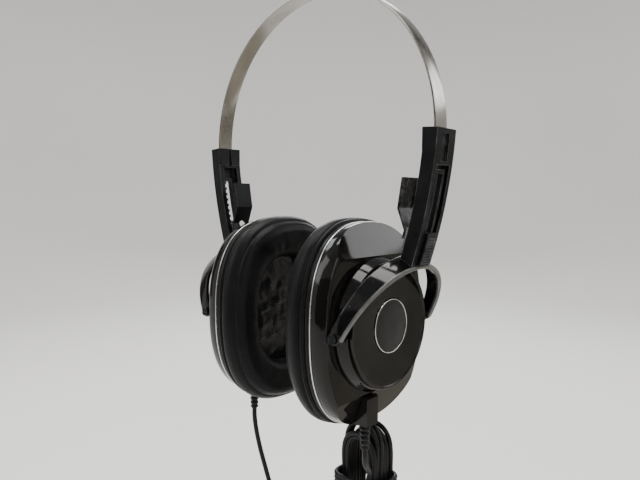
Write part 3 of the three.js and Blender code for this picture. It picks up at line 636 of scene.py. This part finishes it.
def make_plug():
    low = PLUG_TOP - 36
    profile = [(0, low), (6.0, low), (6.4, low + 0.5), (6.6, low + 4)]
    for i in range(7):
        z = low + 6 + i * 2
        profile += [(6.55, z), (6.0, z + 0.4), (6.0, z + 0.9), (6.5, z + 1.3)]
    profile += [(6.2, low + 21), (4.7, low + 26)]
    for i in range(4):
        z = low + 27 + i * 2
        r = 4.3 - 0.35 * i
        profile += [(r, z), (r - 0.5, z + 0.5), (r - 0.5, z + 1.1), (r - 0.1, z + 1.5)]
    profile += [(2.6, PLUG_TOP - 0.4), (2.3, PLUG_TOP), (0, PLUG_TOP)]
    grip = build("jack_grip", [lathe_z(profile, PLUG_X, PLUG_Y)], SATIN, "frame", ["plug_grip"])
    top = low - GAP
    pin = [
        (0, top - 31), (0.9, top - 30.9), (1.5, top - 30.3), (3.1, top - 28.6), (3.1, top - 28.2),
        (2.3, top - 26.8), (2.6, top - 25.6), (3.17, top - 25), (3.17, top - 22.4), (2.9, top - 22.4),
        (2.9, top - 21.2), (3.17, top - 21.2), (3.17, top - 18), (2.9, top - 18), (2.9, top - 16.8),
        (3.17, top - 16.8), (3.17, top), (0, top),
    ]
    body = build("jack_pin", [lathe_z(pin, PLUG_X, PLUG_Y)], NICKEL, "frame", ["plug_pin"])
    rings = []
    for z in (top - 22.35, top - 17.95):
        rings.append(lathe_z([(2.85, z), (3.14, z), (3.14, z + 1.1), (2.85, z + 1.1)], PLUG_X, PLUG_Y))
    bands = build("jack_insulators", rings, SATIN, "frame", ())
    return [grip, body, bands]


def make_cords():
    split = make_split()
    for side, route in (("left", LEFT_ROUTE), ("right", RIGHT_ROUTE)):
        line = curve_through(route, 8)
        stands_for = [f"{side}_branch_cord"]
        obj = build(f"{side}_lead", [tube(line, CORD_RADIUS, 12)], CORD, None, stands_for)
        start, end = Vector(route[0]) * MM, Vector(route[0]) * MM
        end.z -= BLEND_DROP * MM
        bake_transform(obj)
    turns = hank_turns()
    lead_in = curve_through(MAIN_ROUTE, 8)
    tail = curve_through(TAIL_ROUTE, 8)
    # A few points are left out where the cord runs into and out of the turns, so that it bends in softly.
    line = resampled(lead_in[:-6] + turns[2:-2] + tail[3:], 1.4)
    plug = make_plug()
    tie = make_tie()
    stands_for = ["main_cord", "cord_hank", "plug_cord"]
    obj = build("main_lead", [tube(line, CORD_RADIUS, 10)], CORD, "frame", stands_for)


make_cords()


# ---------------------------------------------------------------- headband and yokes
def rectangle(low, high, start, end):
    return [(low, start), (high, start), (high, end), (low, end)]


def headband():
    section = rounded(rectangle(0, BAND_THICK, -BAND_WIDTH / 2, BAND_WIDTH / 2), 0.35, 3)
    rings = []
    steps = 180

    def ring(x, z, nx, nz):
        return [(x + nx * t, y, z + nz * t) for t, y in section]

    for drop in (BAND_TAIL, BAND_TAIL / 2):
        rings.append(ring(BAND_RADIUS, -BAND_RADIUS - drop, 1, 0))
    for i in range(steps + 1):
        a = math.pi * i / steps
        c, s = math.cos(a), math.sin(a)
        rings.append(ring(BAND_RADIUS * c, -BAND_RADIUS + BAND_RADIUS * s, c, s))
    for drop in (BAND_TAIL / 2, BAND_TAIL):
        rings.append(ring(-BAND_RADIUS, -BAND_RADIUS - drop, -1, 0))
    build("spring_band", [skin(rings)], BAND, "frame", ["headband_strip"])


def leaned(x, y, z):
    c, s = math.cos(math.radians(YOKE_TILT)), math.sin(math.radians(YOKE_TILT))
    return (PIVOT_X + x * c + z * s, y, PIVOT_Z - x * s + z * c)


def ribbon_edge(height):
    """How far the ribbon reaches inwards at a height above the pivots."""
    stations = [(-8, -3.2), (6, -3.4), (16, -4.2), (26, -5.4), (34, -6.0), (36.3, -6.0)]
    for (h0, e0), (h1, e1) in zip(stations, stations[1:]):
        if height <= h1:
            t = (height - h0) / (h1 - h0)
            return e0 + (e1 - e0) * t
    return stations[-1][1]


def yoke_parts():
    rings = []
    steps = 96
    for i in range(steps + 1):
        a = math.radians(-90 + 180 * i / steps)
        edge = ribbon_edge(YOKE_RADIUS * math.cos(a))
        ring = []
        for x, t in rounded(rectangle(edge, RIBBON_OUT, 0, RIBBON_THICK), 0.7, 3):
            radius = YOKE_RADIUS + t
            ring.append(leaned(x, radius * math.sin(a), radius * math.cos(a)))
        rings.append(ring)
    ribbon = [skin(rings)]
    for side in (-1, 1):
        middle = side * (YOKE_RADIUS + RIBBON_THICK / 2)
        reach = side * EAR_THICK / 2
        ribbon.append(rod_y(EAR_RADIUS, middle - reach, middle + reach, PIVOT_X, PIVOT_Z))
    line = []
    for i in range(121):
        a = math.radians(-88 + 176 * i / 120)
        line.append(Vector(leaned(BEAD_X, BEAD_AT * math.sin(a), BEAD_AT * math.cos(a))))
    return ribbon, [tube(line, BEAD_RADIUS, 20)]


# ---------------------------------------------------------------- cups
def cup_parts():
    """Each named piece of the left cup as closed shells."""
    seat, top, spigot = FACE_X + GAP, CAP_BASE - GAP, BOSS_BASE - 5.2
    housing = [
        (BOSS_BASE, seat), (BOSS_BASE - 0.3, FACE_X + 1.5), (BOSS_TOP + 0.6, top), (BOSS_TOP - 1.6, top),
        (spigot - 1, FACE_X + 2.2), (spigot - 1, FACE_X - 3), (spigot, FACE_X - 3), (spigot, seat),
    ]
    cap = [
        (0, CAP_BASE), (BOSS_TOP, CAP_BASE), (BOSS_TOP, CAP_LIP), (BOSS_TOP - 1, CAP_LIP),
        (BOSS_TOP - 1.4, DISC_X), (BADGE_RADIUS + 0.4, DISC_X),
        (BADGE_RADIUS + 0.4, BADGE_FLOOR), (0, BADGE_FLOOR),
    ]
    ring_low, ring_in = BADGE_FLOOR + GAP, BADGE_RADIUS - BADGE_RIM
    lugs = [rod_y(LUG_RADIUS, side * LUG_FROM, side * LUG_TO, PIVOT_X, PIVOT_Z) for side in (-1, 1)]
    pad = [
        (PAD_SEAT, 31.8), (PAD_HALF - 2, 31.8), (PAD_HALF - 0.9, 31.2), (PAD_HALF - 0.5, 30.2),
        (PAD_HALF - 1.1, 29.5), (PAD_HALF - 1.7, 29.1), (PAD_HALF - 1.0, 28.6), (PAD_HALF - 0.2, 27.4),
        (PAD_HALF, PAD_X), (PAD_HALF - 0.3, 23.4), (PAD_HALF - 1.5, 20.8), (PAD_HALF - 2.4, 20.0),
        (PAD_HALF - 3.4, 19.6), (PAD_HALF - 3.3, 18.6), (PAD_HALF - 4.9, 16.6), (PAD_HALF - 7.2, 15.4),
        (44.5, PAD_FACE_X), (38.5, PAD_FACE_X), (34.6, 15.7), (PAD_HOLE_HALF + 2, 17.4),
        (PAD_HOLE_HALF + 0.4, 20), (PAD_HOLE_HALF, 22.6), (PAD_HOLE_HALF + 1.2, 25.6),
        (PAD_HOLE_HALF + 3, PAD_BASE), (PAD_SEAT, PAD_BASE),
    ]
    lip = [
        (PAD_SEAT, TRIM_X - 3), (TRIM_HALF - 0.1, TRIM_X - 3),
        (TRIM_HALF - 0.1, TRIM_X - 0.65), (PAD_SEAT, TRIM_X - 0.65),
    ]
    trim = [
        (TRIM_HALF - 3, TRIM_X - TRIM_THICK / 2), (TRIM_HALF, TRIM_X - TRIM_THICK / 2),
        (TRIM_HALF, TRIM_X + TRIM_THICK / 2), (TRIM_HALF - 3, TRIM_X + TRIM_THICK / 2),
    ]
    badge_ring = [
        (ring_in, ring_low), (BADGE_RADIUS, ring_low), (BADGE_RADIUS, DISC_X + 0.5), (ring_in, DISC_X + 0.5),
    ]
    badge = [
        (0, ring_low), (ring_in - GAP, ring_low), (ring_in - GAP, DISC_X + 0.1),
        (ring_in - 0.6, DISC_X + 0.2), (0, DISC_X + 0.2),
    ]
    return {
        "boss_housing": ([lathe_x(rounded(housing, 0.6, 3), 1, 144), *lugs], GLOSS, "gloss_black"),
        "boss_cap": ([lathe_x(rounded(cap, 0.35, 3), 1, 144)], GLOSS, "gloss_black"),
        "badge_ring": ([lathe_x(rounded(badge_ring, 0.3, 3), 1, 128)], SILVER, "silver_trim"),
        "badge_insert": ([lathe_x(badge, 1, 96)], BADGE, "badge_black"),
        "trim_ring": ([lathe_x(rounded(trim, 0.25, 3), OVAL, 192)], SILVER, "silver_trim"),
        "pad_frame": ([lathe_x(rounded(lip, 0.3, 2), OVAL, 144)], SATIN, "satin_black"),
        "ear_pad": ([lathe_x(rounded(pad, 0.5, 2), OVAL, 192)], VINYL, "vinyl"),
        "dust_cloth": ([film_part()], FILM, "damping_cloth"),
        "strain_relief": ([relief_part()], CORD, "cord_black"),
    }


def prism_y(outline, y0, y1):
    return skin([[(x, y, CUP_Z + z) for x, z in outline] for y in (y0, y1)])


def cup_shell(turn, side):
    """The bowl of the cup: level in the middle, with flat slopes above and below, and hollow."""
    rim = TRIM_X + 0.65
    wall_in = TRIM_HALF - 0.4
    outside = rounded([
        (wall_in, rim), (wall_in, TRIM_X + 3), (TRIM_HALF - 1, TRIM_X + 6.4), (FACE_HALF, FACE_X - 0.4),
        (FACE_HALF - 1, FACE_X), (0, FACE_X),
    ], 1.2, 5, closed=False)
    inside = [
        (0, rim - 1), (wall_in - WALL, rim - 1), (FACE_HALF - WALL, FACE_X - WALL - 1), (0, FACE_X - WALL),
    ]
    outer = build(f"{side}_cup_shell_skin", [turn(lathe_x([(0, rim), *outside], OVAL, 192))], GLOSS)
    solid_cut(outer, [turn(part) for part in slope_waste(0.0)])
    inner = build("hollow", [turn(lathe_x(inside, OVAL, 96))], GLOSS)
    solid_cut(inner, [turn(part) for part in slope_waste(WALL)])
    mouth = BOSS_BASE - 5
    opening = turn(lathe_x([(0, 30), (mouth, 30), (mouth, 60), (0, 60)], 1, 96))
    subtract(outer, inner)
    solid_cut(outer, [opening])
    finish_shell(outer)
    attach(outer, f"{side}_cup")
    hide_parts(f"{side}_cup_shell")


def slope_waste(inset):
    level = FACE_X - inset
    low, clear = level - SLOPE_DROP, level + 20
    for sign in (1, -1):
        start, end = sign * SLOPE_START, sign * SLOPE_END
        yield prism_y([(level, start), (low, end), (clear, end), (clear, start)], -60, 60)


def subtract(obj, tool):
    """Take one closed object away from another and remove it."""
    cutter = obj.modifiers.new("cut", "BOOLEAN")
    cutter.operation, cutter.solver, cutter.object = "DIFFERENCE", "EXACT", tool
    bpy.context.view_layer.update()
    mesh = bpy.data.meshes.new_from_object(obj.evaluated_get(bpy.context.evaluated_depsgraph_get()))
    obj.modifiers.clear()
    obj.data = mesh
    bpy.data.objects.remove(tool, do_unlink=True)


def solid_cut(obj, parts):
    for part in parts:
        subtract(obj, build("tool", [part], GLOSS))


def finish_shell(obj):
    mesh = obj.data
    mesh.materials.clear()
    mesh.materials.append(GLOSS)
    bm = bmesh.new()
    bm.from_mesh(mesh)
    bmesh.ops.dissolve_limit(bm, angle_limit=math.radians(0.3), verts=bm.verts, edges=bm.edges)
    bm.to_mesh(mesh)
    bm.free()
    mesh.polygons.foreach_set("use_smooth", [True] * len(mesh.polygons))
    bevel = obj.modifiers.new("crease", "BEVEL")
    bevel.width, bevel.segments = 0.7 * MM, 3
    bevel.limit_method, bevel.angle_limit = "ANGLE", math.radians(15)
    bevel.harden_normals = True


def film_part():
    """The thin film over the baffle, softly wrinkled."""
    segments, rows = 96, 30
    rings = []
    for i in range(segments):
        a = 2 * math.pi * i / segments
        c, s = math.cos(a), math.sin(a)
        k = oval_scale(c, s, OVAL)
        face, back = [], []
        for j in range(rows + 1):
            r = FILM_RADIUS * j / rows
            y, z = r * k * c, r * k * s
            broad = noise.noise(Vector((y * 0.09, z * 0.16, 3.1)))
            fine = noise.noise(Vector((y * 0.25, z * 0.3, 8.2)))
            fold = broad + 0.5 * fine
            rim = min(1.0, (FILM_RADIUS - r) / 8)
            face.append((FILM_FACE - FILM_FOLD * max(fold, -0.2) * rim, y, CUP_Z + z))
            back.append((FILM_BACK, y, CUP_Z + z))
        rings.append(face + back[::-1])
    return skin(rings, loop=True)


def relief_part():
    pitch = (RELIEF_TOP - RELIEF_LOW) / RELIEF_RIBS
    profile = [(0, RELIEF_LOW), (1.9, RELIEF_LOW)]
    for i in range(RELIEF_RIBS):
        low = RELIEF_LOW + i * pitch
        r = 2.25 + 0.12 * i
        profile += [(r, low + 0.25), (r, low + pitch * 0.5)]
        profile += [(1.85, low + pitch * 0.68), (1.85, low + pitch * 0.82)]
    profile += [(2.8, RELIEF_TOP - 0.3), (2.9, RELIEF_TOP), (1.2, RELIEF_TOP), (1.2, NECK_TOP), (0, NECK_TOP)]
    return lathe_z(rounded(profile, 0.25, 2, closed=False), RELIEF_X, CORD_Y, 40)


def wrinkle(obj, mid_radius):
    """Small soft folds pressed into the pad's skin, strongest near its inner edge."""
    for v in obj.data.vertices:
        p = v.co / MM
        r = math.hypot(p.y / OVAL, p.z - CUP_Z)
        a = math.atan2(p.z - CUP_Z, p.y / OVAL)
        inner = max(0.0, min(1.0, (mid_radius + 4 - r) / 9))
        fold = noise.noise(Vector((math.cos(a) * 9, math.sin(a) * 9, p.x * 0.12)))
        broad = noise.noise(Vector((p.y * 0.05, p.z * 0.05, 2.0)))
        if abs(p.x) < PAD_FOLDS_TO:
            v.co.x += math.copysign(MM, p.x) * (0.45 * inner * fold + 0.35 * broad)


def make_sides():
    ribbon, bead = yoke_parts()
    cup = cup_parts()
    for side, turn in (("left", lambda part: part), ("right", mirrored)):
        build(f"{side}_yoke_ribbon", [turn(p) for p in ribbon], YOKE, "frame", [f"{side}_yoke"])
        build(f"{side}_yoke_bead", [turn(p) for p in bead], BEAD, "frame", ())
        for name, (parts, material, slot) in cup.items():
            turned = [turn(p) for p in parts]
            obj = build(f"{side}_{name}_skin", turned, material, f"{side}_cup", [f"{side}_{name}"])
            if name == "ear_pad":
                wrinkle(obj, (PAD_HALF + PAD_HOLE_HALF) / 2)
        cup_shell(turn, side)


headband()
make_sides()

# ---------------------------------------------------------------- CAD pieces kept
KEPT = {
    "arm": (RUBBED_EDGE_HIGHLIT, 0.4), "slider_grip": (RUBBED_EDGE_HIGHLIT, 0.18), "strap_tab": (SATIN, 0.35), "baffle": (SATIN, 0.2),
    "cord_block": (GLOSS, 0.45), "band_rivet": (SATIN, 0.2), "slider_plate": (NICKEL, 0.15),
    "slider_screw": (NICKEL, 0.15), "detent_spring": (NICKEL, 0.08),
    "front_pivot_screw": (SATIN, 0.15), "rear_pivot_screw": (SATIN, 0.15), "driver_basket": (NICKEL, 0.1),
    "driver_cone": (PAPER, 0.1), "driver_magnet": (MAGNET, 0.4),
}


def dress(node, material, width):
    """Give a CAD piece its finish and soft corners."""
    crease = math.radians(32)
    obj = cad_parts[node]
    obj.data.materials.clear()
    obj.data.materials.append(material)
    planar = obj.modifiers.new("clean", "DECIMATE")
    planar.decimate_type = "DISSOLVE"
    planar.angle_limit = math.radians(1.2)
    bevel = obj.modifiers.new("soft_corners", "BEVEL")
    bevel.width = width * MM
    bevel.segments = 2
    bevel.limit_method = "ANGLE"
    bevel.angle_limit = crease
    bevel.harden_normals = True
    obj.data.polygons.foreach_set("use_smooth", [True] * len(obj.data.polygons))
    obj.data.set_sharp_from_angle(angle=crease)


for side in ("left", "right"):
    for name, (material, width) in KEPT.items():
        rough_tab = side == "left" and name == "strap_tab"
        dress(f"{side}_{name}", MOTTLED if rough_tab else material, width)


# ---------------------------------------------------------------- floor, light
def studio_set():
    level, flat, sweep, top = -0.475, 1.7, 0.9, 2.6
    profile = [(0.0, level), (flat, level)]
    for i in range(1, 17):
        a = math.pi / 2 * i / 16
        profile.append((flat + sweep * math.sin(a), level + sweep * (1 - math.cos(a))))
    profile.append((flat + sweep, top))
    verts, faces = [], []
    segments = 96
    for r, z in profile:
        for k in range(segments):
            a = 2 * math.pi * k / segments
            verts.append((r * math.cos(a), r * math.sin(a), z))
    for i in range(len(profile) - 1):
        for k in range(segments):
            n = (k + 1) % segments
            faces.append((i * segments + k, i * segments + n, (i + 1) * segments + n, (i + 1) * segments + k))
    mesh = bpy.data.meshes.new("floor")
    mesh.from_pydata(verts, [], faces)
    mesh.polygons.foreach_set("use_smooth", [True] * len(mesh.polygons))
    obj = bpy.data.objects.new("floor", mesh)
    bpy.context.scene.collection.objects.link(obj)
    mesh.materials.append(studio("pale_floor", (0.74, 0.735, 0.72), (0.80, 0.795, 0.78)))


def area_light(name, at, target, size, power, color=(1.0, 1.0, 1.0)):
    data = bpy.data.lights.new(name, "AREA")
    data.shape = "RECTANGLE"
    data.size, data.size_y = size
    data.energy = power
    data.color = color
    obj = bpy.data.objects.new(name, data)
    obj.location = at
    obj.rotation_mode = "QUATERNION"
    obj.rotation_quaternion = (Vector(target) - Vector(at)).to_track_quat("-Z", "Y")
    bpy.context.scene.collection.objects.link(obj)
    obj.visible_camera = False


def card(name, at, target, size, color):
    """A plain dark board beside the set that only mirrors show, so gloss has something dark to reflect."""
    half_x, half_y = size[0] / 2, size[1] / 2
    corners = [(-half_x, -half_y, 0), (half_x, -half_y, 0), (half_x, half_y, 0), (-half_x, half_y, 0)]
    mesh = bpy.data.meshes.new(name)
    mesh.from_pydata(corners, [], [(0, 1, 2, 3)])
    mesh.materials.append(studio(f"{name}_paint", color, tuple(c * 1.3 for c in color)))
    obj = bpy.data.objects.new(name, mesh)
    obj.location = at
    obj.rotation_mode = "QUATERNION"
    obj.rotation_quaternion = (Vector(target) - Vector(at)).to_track_quat("-Z", "Y")
    bpy.context.scene.collection.objects.link(obj)
    obj.visible_camera = False
    obj.visible_diffuse = False
    obj.visible_shadow = False


def lights():
    world = bpy.data.worlds.new("soft_room")
    world.use_nodes = True
    background = world.node_tree.nodes["Background"]
    background.inputs["Color"].default_value = (0.95, 0.96, 1.0, 1.0)
    background.inputs["Strength"].default_value = 0.38
    bpy.context.scene.world = world
    middle = (0, 0, -0.15)
    area_light("overhead", (0.0, 0.1, 1.4), middle, (1.3, 0.9), 38, (1.0, 0.98, 0.95))
    area_light("front_left", (-1.0, -1.2, 0.8), middle, (0.6, 1.0), 8, (1.0, 0.99, 0.97))
    area_light("upper_left", (-1.05, -0.15, 1.15), middle, (0.6, 0.4), 6, (0.96, 0.98, 1.0))
    area_light("right_side", (1.5, -0.9, 0.9), middle, (0.35, 0.9), 6, (0.97, 0.98, 1.0))
    area_light("behind_right", (0.75, 1.35, 0.62), middle, (1.3, 0.5), 8.0, (0.98, 0.98, 1.0))
    area_light("behind_left", (-1.1, 1.3, 0.6), middle, (0.9, 0.8), 12)
    for i, (x, z) in enumerate(((0.50, 0.53), (0.78, 0.52))):
        card(f"slat_{i}", (x, 1.15 - 0.3 * x, z), middle, (0.025, 0.5), (0.40, 0.38, 0.36))
    card("board_right", (0.66, 0.88, -0.30), (0.05, 0, -0.17), (1.3, 0.62), (0.26, 0.25, 0.22))
    card("board_low", (0.36, 0.44, -0.47), (0.36, 0.44, 0.5), (0.9, 0.5), (0.27, 0.25, 0.21))
    card("board_front", (0.15, -1.45, -0.05), middle, (2.3, 1.2), (0.030, 0.026, 0.022))
    card("board_side", (1.25, -0.15, 0.30), (0, 0, 0), (0.5, 0.9), (0.10, 0.095, 0.09))
    card("board_behind", (0.16, 1.45, 0.75), (0, 0, 0), (0.36, 0.9), (0.05, 0.048, 0.045))
    card("board_left", (-1.5, -0.35, 0.1), middle, (0.6, 0.9), (0.035, 0.03, 0.028))


studio_set()
lights()
